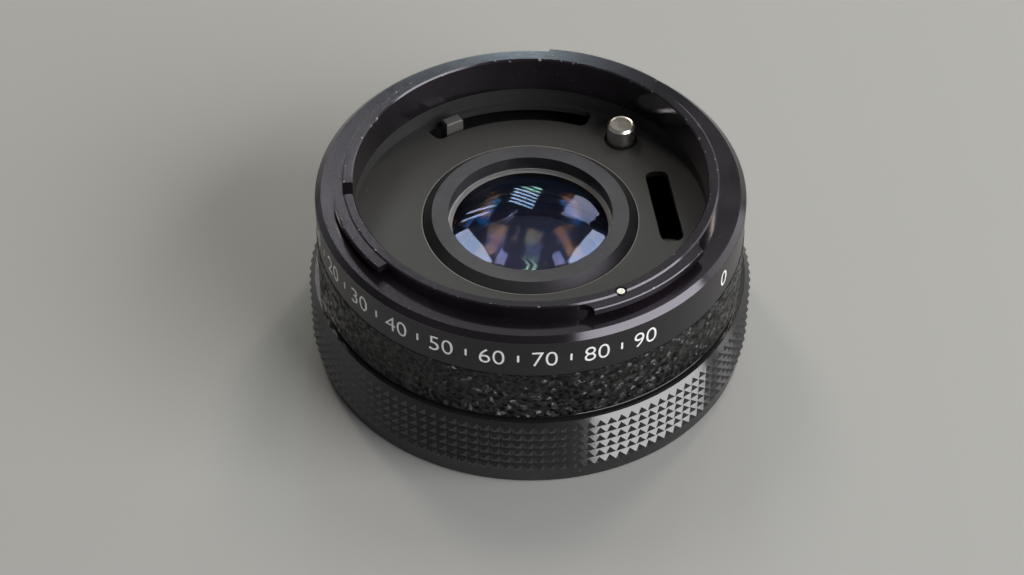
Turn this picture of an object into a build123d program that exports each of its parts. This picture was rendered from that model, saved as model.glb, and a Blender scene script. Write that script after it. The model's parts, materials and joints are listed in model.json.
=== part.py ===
from build123d import *
import os
from math import cos, degrees, pi, radians, sin, sqrt

os.makedirs("parts", exist_ok=True)

# A camera teleconverter, rear down, in millimetres.
# The optical axis is Z, the breech ring stands on z = 0 and the lens side is up.
# Angles are in degrees from +X, counter-clockwise seen from the lens side.

# Driving sizes of the whole
throat_radius = 24.0
grip_height = 11.3
leather_length = 7.75
band_height = 5.85

# Clearances shared by all pieces
turning_clearance = 0.08
sliding_clearance = 0.05
seat_clearance = 0.05
axial_clearance = 0.1
cut_overrun = 0.5
weld_overlap = 0.1

# Front mount ring
throat_length = 5.4
throat_chamfer = 0.2
land_width = 1.4
land_chamfer = 0.2
lug_width = 1.4
lug_thickness = 0.95
lug_edge_chamfer = 0.12
shelf_depth = 2.1
shoulder_chamfer = 0.75
shoulder_inset = 0.05
front_spigot_inset = 1.7
lug_starts = (-76.0, 45.0, -170.3)
lug_sweeps = (48.0, 43.5, 33.0)
scooped_lugs = (0, 1)
scoop_radius = 1.7
scoop_standoff = 0.3
scoop_turn = 0.6
notch_angle = -172.6
notch_width = 2.4
notch_floor_rise = 0.05

# Index pin in the front mount ring
index_pin_angle = -62.0
index_pin_inset = 0.33
index_pin_radius = 0.53
index_pin_length = 0.85
index_pin_recess = 0.06
index_mouth_radius = 0.78
index_mouth_depth = 0.5

# Housing barrel and its leatherette
barrel_margin = 2.4
leather_thickness = 0.5
housing_lip = 0.25
housing_lip_proud = 0.08
housing_lip_bevel = 0.1
housing_gap = 0.3
housing_wall = 1.3
web_thickness = 2.73

# Front baffle
baffle_thickness = 0.9
baffle_wall = 0.7
baffle_wall_step = 0.3
baffle_rim_clearance = 0.5
baffle_bore_clearance = 0.15
arc_slot_width = 3.2
arc_slot_margin = 0.5
arc_slot_start = 68.3
arc_slot_sweep = 61.2
arc_slot_corner = 1.0
straight_slot_angle = 8.4
straight_slot_inset = 5.4
straight_slot_length = 14.2
straight_slot_width = 3.2
straight_slot_corner = 1.25
pin_window_radius = 2.35

# Screws that join the front mount ring, the housing's web and the baffle
front_screw_count = 6
front_screw_start = 15.0
front_screw_radius = 0.6
front_screw_hole_radius = 0.7
front_screw_head_radius = 1.1
front_screw_head_height = 0.75
front_screw_grip = 1.7
screw_slot_width = 0.3
screw_slot_depth = 0.3

# Rear mount: flange face, collar, key and cover
flange_face_height = 4.6
flange_thickness = 1.3
flange_inset = 0.25
mount_clearance = 0.12
collar_wall = 0.93
collar_length = 2.2
collar_chamfer = 0.25
key_width = 2.2
key_height = 1.4
key_standoff = 0.84
key_reach = 0.65
key_shank_radius = 0.28
key_shank_length = 1.0
flange_screw_count = 4
flange_screw_inset = 0.75
flange_screw_start = 33.0
flange_screw_radius = 0.5
flange_screw_head_radius = 0.95
flange_screw_head_height = 0.55
flange_screw_recess = 0.05
flange_screw_length = 5.0
cover_thickness = 0.65
cover_bore_clearance = 0.25
cover_rim_clearance = 0.1
cover_screw_angles = (150.0, 216.0, 285.0)
cover_screw_radius = 0.5
cover_screw_head_radius = 0.95
cover_screw_head_height = 0.4
cover_screw_length = 1.6

# Chassis: rear plate, tube, spigot and hub
chassis_plate = 1.2
chassis_inset = 1.0
chassis_foot_step = 1.1
chassis_wall = 1.5
chassis_spigot_length = 3.6
hub_wall = 1.0
hub_shoulder_width = 1.2
hub_shoulder_height = 1.5
chassis_screw_count = 4
chassis_screw_start = 20.0
chassis_screw_rise = 1.8
chassis_screw_radius = 0.6
chassis_screw_head_radius = 1.1
chassis_screw_head_height = 0.45
chassis_screw_reach = 1.6

# Breech ring: knurl, bayonet tabs and its bearing on the chassis
grip_margin = 1.5
knurl_rows = 6
knurl_columns = 128
knurl_row_depth = 0.55
knurl_column_depth = 0.46
knurl_top_margin = 1.1
knurl_foot = 2.225
knurl_tip_flat = 0.03
grip_foot_chamfer = 0.25
grip_foot_bore_chamfer = 0.3
skirt_step = 0.62
rim_step = 0.05
lip_clearance = 0.15
lip_thickness = 0.9
tab_clearance = 0.1
tab_thickness = 0.85
tab_drop = 1.25
tab_starts = (-18.0, 102.0, -128.0)
tab_sweeps = (42.0, 41.5, 36.0)
breech_turn = 55.0
stop_groove_depth = 0.85
stop_groove_height = 1.5
stop_groove_margin = 2.0
stop_pin_angle = 250.0
stop_pin_radius = 0.6
stop_pin_depth = 1.6
stop_pin_reach = 0.75
friction_washer_thickness = 0.25
friction_washer_gap = 0.05

# Mechanism rings on the hub
ring_width_share = 0.3367
ring_thickness = 1.5
sleeve_wall = 0.75
lobe_thickness = 1.0
lobe_root = 0.3
return_spring_wire = 0.2
return_spring_gap = 0.3
return_spring_turns = 3
circlip_thickness = 0.6
circlip_groove_depth = 0.35
circlip_width = 2.1
circlip_land = 0.25
circlip_gap_sweep = 40.0
circlip_gap_start = 250.0

# Aperture drive: lobe, front lever, rear lever
drive_lobe_margin = 0.4
drive_lobe_start = 107.0
drive_lobe_sweep = 19.0
drive_lever_angle = 121.0
drive_rear_angle = 112.0
drive_turn = 44.0
lever_rim_clearance = 0.45
lever_thickness_share = 0.2155
lever_upright_width = 2.6
lever_foot_gap = 0.6
lever_foot_width = 3.2
lever_foot_thickness = 0.8
lever_top_depth = 6.63
lever_tip_height = 0.6
lever_tip_round = 0.25
lever_slot_clearance = 0.4
lever_slot_margin = 2.0
rivet_radius = 0.5
rivet_head_radius = 0.9
rivet_head_height = 0.35
rivet_inset = 0.9

# Aperture signal: lobe, fork, rear lever
signal_gap_share = 0.1347
signal_lobe_margin = 0.7
signal_lobe_start = -14.0
signal_lobe_sweep = 16.0
signal_angle = -6.0
signal_turn = 30.0
signal_lever_width = 2.4
fork_gap = 3.6
fork_prong_width = 1.2
fork_height = 5.8
fork_foot_gap = 0.3

# Full-aperture pin, its washer, spring and guide bush
pin_angle = 52.4
pin_inset = 2.22
pin_radius = 1.95
pin_edge_chamfer = 0.3
pin_dish_radius = 1.45
pin_dish_depth = 0.12
pin_proud = 2.85
pin_shoulder_depth = 2.67
pin_shaft_radius = 1.2
pin_tip_height = 3.4
pin_tip_chamfer = 0.3
washer_radius = 2.9
washer_thickness = 0.6
bush_wall = 1.1
bush_length = 1.52
pin_spring_wire = 0.22
pin_spring_gap = 0.33
pin_spring_turns = 7

# Optics: radii step in from the lens barrel, lengths and curves are shares
lens_barrel_share = 0.579
hub_bore_clearance = 0.1
barrel_flange_width = 0.8
barrel_flange_thickness = 1.9
barrel_flange_gap = 0.37
barrel_tail = 1.2
nose_margin = 0.75
nose_height = 1.03
nose_slope_width = 1.15
nose_face_width = 2.22
nose_bore_length = 2.1
nose_skirt = 0.2
nose_skirt_wall = 2.35
front_barrel_wall = 1.7
rear_barrel_wall = 1.95
glass_clearance = 0.05
glass_rim_clearance = 0.08
septum_rim = 1.2
second_glass_rim = 1.4
third_glass_rim = 1.15
rear_glass_front_rim = 1.75
rear_glass_rear_rim = 1.45
front_spacer_wall = 0.8
rear_spacer_wall = 1.05
rear_retainer_inset = 0.6
rear_retainer_wall = 1.35
rear_retainer_slot = 1.2
front_glass_edge_share = 0.087
front_spacer_share = 0.0725
second_glass_edge_share = 0.2609
septum_share = 0.0435
third_glass_edge_share = 0.1087
rear_glass_edge_share = 0.1812
rear_retainer_share = 0.1159
front_glass_front_curve_share = 3.28
front_glass_rear_curve_share = 9.84
second_glass_front_curve_share = 7.38
second_glass_rear_curve_share = 2.62
third_glass_front_curve_share = 2.68
third_glass_rear_curve_share = 3.77
rear_glass_front_curve_share = 2.09
rear_glass_rear_curve_share = 5.02
lock_ring_width = 1.8
lock_ring_thickness = 1.0
lock_ring_notches = 4
lock_ring_notch = 1.1

# Heights worked out from the driving sizes
housing_bottom = grip_height + housing_gap
leather_bottom = housing_bottom + housing_lip
leather_top = leather_bottom + leather_length
shoulder_bottom = leather_top + band_height
shelf_top = shoulder_bottom + shoulder_chamfer
land_top = shelf_top + shelf_depth
lug_top = land_top - land_chamfer
lug_bottom = lug_top - lug_thickness
throat_bottom = land_top - throat_length
web_bottom = throat_bottom - web_thickness
baffle_top = web_bottom
baffle_bottom = baffle_top - baffle_thickness
plate_bottom = flange_face_height + flange_thickness
plate_top = plate_bottom + chassis_plate
lip_bottom = plate_bottom + axial_clearance
lip_top = lip_bottom + lip_thickness
washer_bottom = lip_top + friction_washer_gap
washer_top = washer_bottom + friction_washer_thickness
chassis_step = washer_top + friction_washer_gap
stop_pin_height = (chassis_step + grip_height) / 2
barrel_flange_top = baffle_bottom - barrel_flange_gap
hub_top = barrel_flange_top - barrel_flange_thickness
circlip_top = hub_top - circlip_land
circlip_bottom = circlip_top - circlip_thickness
shoulder_top = plate_top + hub_shoulder_height
sleeve_room = circlip_bottom - shoulder_top - 2 * ring_thickness - 5 * axial_clearance
sleeve_length = sleeve_room / 2
signal_ring_bottom = shoulder_top + axial_clearance
signal_ring_top = signal_ring_bottom + ring_thickness
lower_sleeve_bottom = signal_ring_top + axial_clearance
lower_sleeve_top = lower_sleeve_bottom + sleeve_length
drive_ring_bottom = lower_sleeve_top + axial_clearance
drive_ring_top = drive_ring_bottom + ring_thickness
upper_sleeve_bottom = drive_ring_top + axial_clearance
upper_sleeve_top = upper_sleeve_bottom + sleeve_length
pin_top = baffle_top + pin_proud
pin_shoulder = baffle_top - pin_shoulder_depth
bush_top = baffle_bottom
lever_top = land_top - lever_top_depth
nose_top = baffle_top + nose_height
front_glass_top = nose_top - nose_bore_length
barrel_bottom = plate_bottom - barrel_tail
rear_retainer_bottom = barrel_bottom + rear_retainer_inset
optical_length = front_glass_top - rear_retainer_bottom
front_glass_bottom = front_glass_top - optical_length * front_glass_edge_share
second_glass_top = front_glass_bottom - optical_length * front_spacer_share
second_glass_bottom = second_glass_top - optical_length * second_glass_edge_share
septum_bottom = second_glass_bottom - optical_length * septum_share
third_glass_bottom = septum_bottom - optical_length * third_glass_edge_share
rear_glass_bottom = rear_retainer_bottom + optical_length * rear_retainer_share
rear_glass_top = rear_glass_bottom + optical_length * rear_glass_edge_share

# Radii of the mounts and the housing, outward from the throat
land_radius = throat_radius + land_width
lug_radius = land_radius + lug_width
barrel_radius = lug_radius + barrel_margin
grip_radius = barrel_radius + grip_margin
grip_foot_radius = grip_radius - knurl_row_depth
shoulder_radius = barrel_radius - shoulder_inset
shelf_radius = shoulder_radius - shoulder_chamfer
front_spigot_radius = barrel_radius - front_spigot_inset
leather_seat_radius = barrel_radius - leather_thickness + housing_lip_proud
lip_radius = barrel_radius + housing_lip_proud
housing_bore_radius = barrel_radius - housing_wall
index_pin_circle = land_radius - index_pin_inset
baffle_wall_radius = throat_radius + baffle_wall_step
baffle_flange_radius = housing_bore_radius - baffle_rim_clearance
web_inner_radius = baffle_wall_radius + baffle_wall + seat_clearance
front_screw_circle = (web_inner_radius + front_spigot_radius) / 2
straight_slot_radius = throat_radius - straight_slot_inset
chassis_radius = barrel_radius - chassis_inset
chassis_foot_radius = chassis_radius - chassis_foot_step
chassis_bore_radius = chassis_foot_radius - chassis_wall
chassis_spigot_radius = housing_bore_radius - seat_clearance
chassis_bearing_radius = chassis_radius + turning_clearance
skirt_bore_radius = chassis_bearing_radius + skirt_step
rim_bore_radius = chassis_radius + rim_step
lip_bore_radius = chassis_foot_radius + lip_clearance
tab_inner_radius = land_radius + tab_clearance
flange_radius = chassis_radius - flange_inset
flange_screw_circle = chassis_foot_radius - flange_screw_inset
collar_radius = throat_radius - mount_clearance
collar_bore_radius = collar_radius - collar_wall
key_inner_radius = collar_radius + key_standoff
key_circle = key_inner_radius + key_reach / 2

# Radii of the optics, the hub and the mechanism
lens_barrel_radius = throat_radius * lens_barrel_share
barrel_flange_radius = lens_barrel_radius + barrel_flange_width
nose_radius = lens_barrel_radius + nose_margin
nose_top_radius = nose_radius - nose_slope_width
nose_bore_radius = nose_top_radius - nose_face_width
baffle_bore_radius = nose_radius + baffle_bore_clearance
front_glass_radius = lens_barrel_radius - front_barrel_wall
rear_glass_radius = lens_barrel_radius - rear_barrel_wall
front_glass_clear_radius = nose_bore_radius - glass_rim_clearance
septum_radius = front_glass_radius - septum_rim
second_glass_clear_radius = front_glass_radius - second_glass_rim
third_glass_clear_radius = rear_glass_radius - third_glass_rim
rear_glass_front_clear_radius = rear_glass_radius - rear_glass_front_rim
rear_glass_rear_clear_radius = rear_glass_radius - rear_glass_rear_rim
lock_ring_radius = lens_barrel_radius + lock_ring_width
cover_inner_radius = lock_ring_radius + cover_bore_clearance
cover_outer_radius = collar_bore_radius - cover_rim_clearance
cover_screw_circle = (cover_inner_radius + cover_outer_radius) / 2
hub_bore_radius = lens_barrel_radius + hub_bore_clearance
hub_radius = hub_bore_radius + hub_wall
hub_shoulder_radius = hub_radius + hub_shoulder_width
ring_bore_radius = hub_radius + turning_clearance
lever_outer_radius = collar_bore_radius - lever_rim_clearance
mechanism_width = lever_outer_radius - ring_bore_radius
ring_radius = ring_bore_radius + mechanism_width * ring_width_share
sleeve_bore_radius = hub_radius + seat_clearance
sleeve_radius = sleeve_bore_radius + sleeve_wall
return_spring_radius = sleeve_radius + return_spring_gap + return_spring_wire
return_spring_pitch = (sleeve_length + axial_clearance - 2 * return_spring_wire) / return_spring_turns
lever_thickness = mechanism_width * lever_thickness_share
lever_inner_radius = lever_outer_radius - lever_thickness
drive_lobe_radius = lever_outer_radius + drive_lobe_margin
lever_foot_inner_radius = ring_radius + lever_foot_gap
arc_slot_inner_radius = lever_inner_radius - arc_slot_margin
arc_slot_radius = arc_slot_inner_radius + arc_slot_width
signal_outer_radius = lever_inner_radius - mechanism_width * signal_gap_share
signal_inner_radius = signal_outer_radius - lever_thickness
signal_lobe_radius = signal_outer_radius + signal_lobe_margin
fork_foot_inner_radius = ring_radius + fork_foot_gap
pin_circle = collar_bore_radius - pin_inset
pin_guide_radius = pin_radius + sliding_clearance
pin_spring_radius = pin_shaft_radius + pin_spring_gap + pin_spring_wire


def level_plane(angle, height):
    """A level plane whose X axis points outward at an angle."""
    return Plane(origin=(0, 0, height), x_dir=(cos(radians(angle)), sin(radians(angle)), 0), z_dir=(0, 0, 1))


def upright_plane(angle):
    """A plane through the axis: X is the radius at an angle and Y is the height."""
    outward = (cos(radians(angle)), sin(radians(angle)), 0)
    return Plane(origin=(0, 0, 0), x_dir=outward, z_dir=(sin(radians(angle)), -cos(radians(angle)), 0))


def half_turn(width, radius):
    """The angle that half a width takes at a radius."""
    return degrees(width / 2 / radius)


def turn(points, mode=Mode.ADD, start=0, sweep=360):
    """A solid of revolution about the axis from radius and height pairs."""
    with BuildSketch(upright_plane(start)) as section:
        with BuildLine():
            Polyline(*points, close=True)
        make_face()
    revolve(section.sketch, axis=Axis.Z, revolution_arc=sweep, mode=mode)


def ring(inner, outer, low, high, mode=Mode.ADD):
    """A plain ring about the axis between two heights."""
    with BuildSketch(Plane.XY.offset(low)) as section:
        Circle(outer)
        Circle(inner, mode=Mode.SUBTRACT)
    extrude(section.sketch, amount=high - low, mode=mode)


def sector(inner, outer, start, sweep, low, high, mode=Mode.ADD, corner=0):
    """Part of a ring between two angles, with its corners rounded if a corner is given."""
    with BuildSketch(Plane.XY.offset(low)) as section:
        with BuildLine():
            rim = CenterArc((0, 0), outer, start, sweep)
            root = CenterArc((0, 0), inner, start, sweep)
            Line(rim @ 0, root @ 0)
            Line(rim @ 1, root @ 1)
        make_face()
        if corner:
            fillet(section.vertices(), corner)
    extrude(section.sketch, amount=high - low, mode=mode)


def spoke(inner, outer, width, angle, low, high, mode=Mode.ADD, aside=0):
    """A bar along a radius, moved aside along the tangent if a distance is given."""
    with BuildSketch(level_plane(angle, low)) as section:
        with Locations(((inner + outer) / 2, aside)):
            Rectangle(outer - inner, width)
    extrude(section.sketch, amount=high - low, mode=mode)


def rods(circle, angles, radius, low, high, mode=Mode.ADD):
    """Upright round rods, or holes, on a circle about the axis."""
    for angle in angles:
        with BuildSketch(level_plane(angle, low)) as section:
            with Locations((circle, 0)):
                Circle(radius)
        extrude(section.sketch, amount=high - low, mode=mode)


def radial_rods(angles, height, radius, inner, outer, mode=Mode.ADD):
    """Round rods, or holes, that point outward from the axis."""
    for angle in angles:
        outward = Vector(cos(radians(angle)), sin(radians(angle)), 0)
        base = outward * inner + Vector(0, 0, height)
        with BuildSketch(Plane(origin=base, x_dir=(0, 0, 1), z_dir=outward)) as section:
            Circle(radius)
        extrude(section.sketch, amount=outer - inner, mode=mode)


def spaced(count, start):
    """Equally spaced angles round the axis."""
    return [start + 360 * step / count for step in range(count)]


def sag(curve, radius):
    """How far a spherical surface of a radius of curvature falls back at a radius."""
    return curve - sqrt(curve * curve - radius * radius)


def lens(edge_radius, bottom, top, front_clear, front_curve_share, rear_clear, rear_curve_share):
    """A lens element; a negative curve is hollow, and a flat rim lies outside the clear radius."""
    front_curve = edge_radius * abs(front_curve_share)
    rear_curve = edge_radius * abs(rear_curve_share)
    front_sign = 1 if front_curve_share > 0 else -1
    rear_sign = 1 if rear_curve_share > 0 else -1
    front_vertex = top + front_sign * sag(front_curve, front_clear)
    rear_vertex = bottom - rear_sign * sag(rear_curve, rear_clear)
    front_middle = (front_clear / 2, front_vertex - front_sign * sag(front_curve, front_clear / 2))
    rear_middle = (rear_clear / 2, rear_vertex + rear_sign * sag(rear_curve, rear_clear / 2))
    with BuildSketch(Plane.XZ) as section:
        with BuildLine():
            Line((0, rear_vertex), (0, front_vertex))
            ThreePointArc((0, front_vertex), front_middle, (front_clear, top))
            Polyline((front_clear, top), (edge_radius, top), (edge_radius, bottom), (rear_clear, bottom))
            ThreePointArc((rear_clear, bottom), rear_middle, (0, rear_vertex))
        make_face()
    revolve(section.sketch, axis=Axis.Z)


def coil(centre, mean_radius, wire, low, pitch, turns):
    """A wire spring about an upright axis, its lowest wire resting at a height."""
    with BuildLine() as path:
        Helix(pitch=pitch, height=pitch * turns, radius=mean_radius, center=(*centre, low + wire))
    with BuildSketch(path.line ^ 0) as section:
        Circle(wire)
    sweep(section.sketch, path=path.line, is_frenet=True)


# Front mount ring: land, three lugs over a groove, flat shelf and bevelled shoulder
front_screw_angles = spaced(front_screw_count, front_screw_start)
with BuildPart() as front_mount_ring:
    turn([
        (throat_radius, throat_bottom),
        (throat_radius, land_top - throat_chamfer),
        (throat_radius + throat_chamfer, land_top),
        (land_radius - land_chamfer, land_top),
        (land_radius, lug_top),
        (land_radius, shelf_top),
        (shelf_radius, shelf_top),
        (shoulder_radius, shoulder_bottom),
        (front_spigot_radius, shoulder_bottom),
        (front_spigot_radius, throat_bottom),
    ])
    for start, sweep_angle in zip(lug_starts, lug_sweeps):
        turn([
            (land_radius - weld_overlap, lug_bottom),
            (lug_radius, lug_bottom),
            (lug_radius, lug_top - lug_edge_chamfer),
            (lug_radius - lug_edge_chamfer, lug_top),
            (land_radius - weld_overlap, lug_top),
        ], start=start, sweep=sweep_angle)
    for lug in scooped_lugs:
        scoop_angles = (lug_starts[lug] + scoop_turn, lug_starts[lug] + lug_sweeps[lug] - scoop_turn)
        rods(lug_radius + scoop_standoff, scoop_angles, scoop_radius, lug_bottom - weld_overlap,
             land_top + cut_overrun, Mode.SUBTRACT)
    spoke(throat_radius - cut_overrun, lug_radius + cut_overrun, notch_width, notch_angle,
          shelf_top + notch_floor_rise, land_top + cut_overrun, Mode.SUBTRACT)
    rods(index_pin_circle, [index_pin_angle], index_pin_radius,
         land_top - index_pin_recess - index_pin_length, land_top + cut_overrun, Mode.SUBTRACT)
    rods(index_pin_circle, [index_pin_angle], index_mouth_radius, land_top - index_mouth_depth,
         land_top + cut_overrun, Mode.SUBTRACT)
    rods(front_screw_circle, front_screw_angles, front_screw_radius, throat_bottom,
         throat_bottom + front_screw_grip, Mode.SUBTRACT)

with BuildPart() as index_pin:
    rods(index_pin_circle, [index_pin_angle], index_pin_radius,
         land_top - index_pin_recess - index_pin_length, land_top - index_pin_recess)

# Screws from below, through the baffle's flange and the web, into the front mount ring
with BuildPart() as front_ring_screws:
    rods(front_screw_circle, front_screw_angles, front_screw_radius, baffle_bottom,
         throat_bottom + front_screw_grip)
    rods(front_screw_circle, front_screw_angles, front_screw_head_radius,
         baffle_bottom - front_screw_head_height, baffle_bottom)
    for angle in front_screw_angles:
        spoke(front_screw_circle - front_screw_head_radius, front_screw_circle + front_screw_head_radius,
              screw_slot_width, angle, baffle_bottom - front_screw_head_height,
              baffle_bottom - front_screw_head_height + screw_slot_depth, Mode.SUBTRACT)

# Housing barrel: printed band, leatherette seat, lower lip and inner web
chassis_screw_angles = spaced(chassis_screw_count, chassis_screw_start)
chassis_screw_height = housing_bottom + chassis_screw_rise
with BuildPart() as housing_barrel:
    turn([
        (front_spigot_radius + seat_clearance, shoulder_bottom),
        (barrel_radius, shoulder_bottom),
        (barrel_radius, leather_top),
        (leather_seat_radius, leather_top),
        (leather_seat_radius, leather_bottom),
        (lip_radius - housing_lip_bevel, leather_bottom),
        (lip_radius, leather_bottom - housing_lip_bevel),
        (lip_radius, housing_bottom),
        (housing_bore_radius, housing_bottom),
        (housing_bore_radius, web_bottom),
        (web_inner_radius, web_bottom),
        (web_inner_radius, throat_bottom),
        (front_spigot_radius + seat_clearance, throat_bottom),
    ])
    rods(front_screw_circle, front_screw_angles, front_screw_hole_radius, web_bottom - cut_overrun,
         throat_bottom + cut_overrun, Mode.SUBTRACT)
    radial_rods(chassis_screw_angles, chassis_screw_height, chassis_screw_radius,
                housing_bore_radius - cut_overrun, leather_seat_radius + cut_overrun, Mode.SUBTRACT)
    radial_rods(chassis_screw_angles, chassis_screw_height, chassis_screw_head_radius + seat_clearance,
                leather_seat_radius - chassis_screw_head_height, leather_seat_radius + cut_overrun,
                Mode.SUBTRACT)

with BuildPart() as leatherette_band:
    ring(leather_seat_radius, leather_seat_radius + leather_thickness, leather_bottom, leather_top)

# Front baffle: flat plate with a low wall, an arc slot, a straight slot and the pin's window
with BuildPart() as front_baffle:
    turn([
        (baffle_bore_radius, baffle_bottom),
        (baffle_flange_radius, baffle_bottom),
        (baffle_flange_radius, baffle_top),
        (baffle_wall_radius + baffle_wall, baffle_top),
        (baffle_wall_radius + baffle_wall, throat_bottom),
        (baffle_wall_radius, throat_bottom),
        (baffle_wall_radius, baffle_top),
        (baffle_bore_radius, baffle_top),
    ])
    sector(arc_slot_inner_radius, arc_slot_radius, arc_slot_start, arc_slot_sweep,
           baffle_bottom - cut_overrun, baffle_top + cut_overrun, Mode.SUBTRACT, arc_slot_corner)
    with BuildSketch(level_plane(straight_slot_angle, baffle_bottom)) as slot_outline:
        with Locations((straight_slot_radius, 0)):
            RectangleRounded(straight_slot_width, straight_slot_length, straight_slot_corner)
    extrude(slot_outline.sketch, amount=baffle_thickness, mode=Mode.SUBTRACT)
    rods(pin_circle, [pin_angle], pin_window_radius, baffle_bottom, baffle_top, Mode.SUBTRACT)
    rods(front_screw_circle, front_screw_angles, front_screw_hole_radius, baffle_bottom, baffle_top,
         Mode.SUBTRACT)

# Chassis: rear plate, tube, spigot inside the housing and the hub that carries the mechanism
drive_slot_half = half_turn(lever_upright_width, lever_inner_radius) + lever_slot_margin
drive_slot_start = drive_rear_angle - drive_turn - drive_slot_half
drive_slot_sweep = drive_turn + 2 * drive_slot_half
signal_slot_half = half_turn(signal_lever_width, signal_inner_radius) + lever_slot_margin
signal_slot_start = signal_angle - signal_slot_half
signal_slot_sweep = signal_turn + 2 * signal_slot_half
flange_screw_angles = spaced(flange_screw_count, flange_screw_start)


def lever_slots(low, high):
    """The two arc slots and the pin's hole through the rear plates."""
    sector(lever_inner_radius - lever_slot_clearance, lever_outer_radius + lever_slot_clearance,
           drive_slot_start, drive_slot_sweep, low, high, Mode.SUBTRACT)
    sector(signal_inner_radius - lever_slot_clearance, signal_outer_radius + lever_slot_clearance,
           signal_slot_start, signal_slot_sweep, low, high, Mode.SUBTRACT)
    rods(pin_circle, [pin_angle], pin_shaft_radius + sliding_clearance, low, high, Mode.SUBTRACT)


with BuildPart() as chassis:
    turn([
        (hub_bore_radius, plate_bottom),
        (chassis_foot_radius, plate_bottom),
        (chassis_foot_radius, chassis_step),
        (chassis_radius, chassis_step),
        (chassis_radius, housing_bottom),
        (chassis_spigot_radius, housing_bottom),
        (chassis_spigot_radius, housing_bottom + chassis_spigot_length),
        (chassis_bore_radius, housing_bottom + chassis_spigot_length),
        (chassis_bore_radius, plate_top),
        (hub_shoulder_radius, plate_top),
        (hub_shoulder_radius, shoulder_top),
        (hub_radius, shoulder_top),
        (hub_radius, hub_top),
        (hub_bore_radius, hub_top),
    ])
    ring(hub_radius - circlip_groove_depth, hub_radius + cut_overrun, circlip_bottom, circlip_top,
         Mode.SUBTRACT)
    lever_slots(plate_bottom, plate_top)
    rods(flange_screw_circle, flange_screw_angles, flange_screw_radius, plate_bottom,
         flange_face_height + flange_screw_recess + flange_screw_length, Mode.SUBTRACT)
    rods(cover_screw_circle, cover_screw_angles, cover_screw_radius, plate_bottom,
         plate_bottom + cover_screw_length - cover_thickness, Mode.SUBTRACT)
    radial_rods(chassis_screw_angles, chassis_screw_height, chassis_screw_radius,
                chassis_spigot_radius - chassis_screw_reach, chassis_spigot_radius + cut_overrun,
                Mode.SUBTRACT)
    radial_rods([stop_pin_angle], stop_pin_height, stop_pin_radius, chassis_radius - stop_pin_depth,
                chassis_radius + cut_overrun, Mode.SUBTRACT)

# Radial screws that join the housing to the chassis, hidden by the leatherette
with BuildPart() as chassis_screws:
    radial_rods(chassis_screw_angles, chassis_screw_height, chassis_screw_radius,
                chassis_spigot_radius - chassis_screw_reach, leather_seat_radius - chassis_screw_head_height)
    radial_rods(chassis_screw_angles, chassis_screw_height, chassis_screw_head_radius,
                leather_seat_radius - chassis_screw_head_height, leather_seat_radius - seat_clearance)

# Sleeves and return springs between the mechanism rings
with BuildPart() as signal_sleeve:
    ring(sleeve_bore_radius, sleeve_radius, lower_sleeve_bottom, lower_sleeve_top)

with BuildPart() as drive_sleeve:
    ring(sleeve_bore_radius, sleeve_radius, upper_sleeve_bottom, upper_sleeve_top)

spring_drop = axial_clearance / 2
with BuildPart() as signal_return_spring:
    coil((0, 0), return_spring_radius, return_spring_wire, lower_sleeve_bottom - spring_drop,
         return_spring_pitch, return_spring_turns)

with BuildPart() as drive_return_spring:
    coil((0, 0), return_spring_radius, return_spring_wire, upper_sleeve_bottom - spring_drop,
         return_spring_pitch, return_spring_turns)

with BuildPart() as hub_circlip:
    ring(hub_radius - circlip_groove_depth, hub_radius - circlip_groove_depth + circlip_width,
         circlip_bottom, circlip_top)
    sector(hub_bore_radius, hub_radius + circlip_width + cut_overrun, circlip_gap_start, circlip_gap_sweep,
           circlip_bottom - cut_overrun, circlip_top + cut_overrun, Mode.SUBTRACT)

# Aperture drive: ring with a lobe, front lever up through the baffle, rear lever down
lobe_top = drive_ring_bottom + lobe_thickness
drive_rivet_circle = lever_foot_inner_radius + rivet_inset
drive_rivet_angles = (drive_lever_angle, drive_rear_angle)
with BuildPart() as drive_ring:
    ring(ring_bore_radius, ring_radius, drive_ring_bottom, drive_ring_top)
    sector(ring_radius - lobe_root, drive_lobe_radius, drive_lobe_start, drive_lobe_sweep,
           drive_ring_bottom, lobe_top)
    rods(drive_rivet_circle, drive_rivet_angles, rivet_radius, drive_ring_bottom, lobe_top, Mode.SUBTRACT)

with BuildPart() as drive_front_lever:
    spoke(lever_foot_inner_radius, lever_outer_radius, lever_foot_width, drive_lever_angle,
          lobe_top, lobe_top + lever_foot_thickness)
    spoke(lever_inner_radius, lever_outer_radius, lever_upright_width, drive_lever_angle,
          lobe_top, lever_top)
    fillet(drive_front_lever.faces().sort_by(Axis.Z)[-1].edges(), lever_tip_round)
    rods(drive_rivet_circle, [drive_lever_angle], rivet_radius, lobe_top, lobe_top + lever_foot_thickness,
         Mode.SUBTRACT)

drive_foot_bottom = drive_ring_bottom - lever_foot_thickness
with BuildPart() as drive_rear_lever:
    spoke(lever_foot_inner_radius, lever_outer_radius, lever_foot_width, drive_rear_angle,
          drive_foot_bottom, drive_ring_bottom)
    spoke(lever_inner_radius, lever_outer_radius, lever_upright_width, drive_rear_angle,
          lever_tip_height, drive_ring_bottom)
    fillet(drive_rear_lever.faces().sort_by(Axis.Z)[0].edges(), lever_tip_round)
    rods(drive_rivet_circle, [drive_rear_angle], rivet_radius, drive_foot_bottom, drive_ring_bottom,
         Mode.SUBTRACT)

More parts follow.
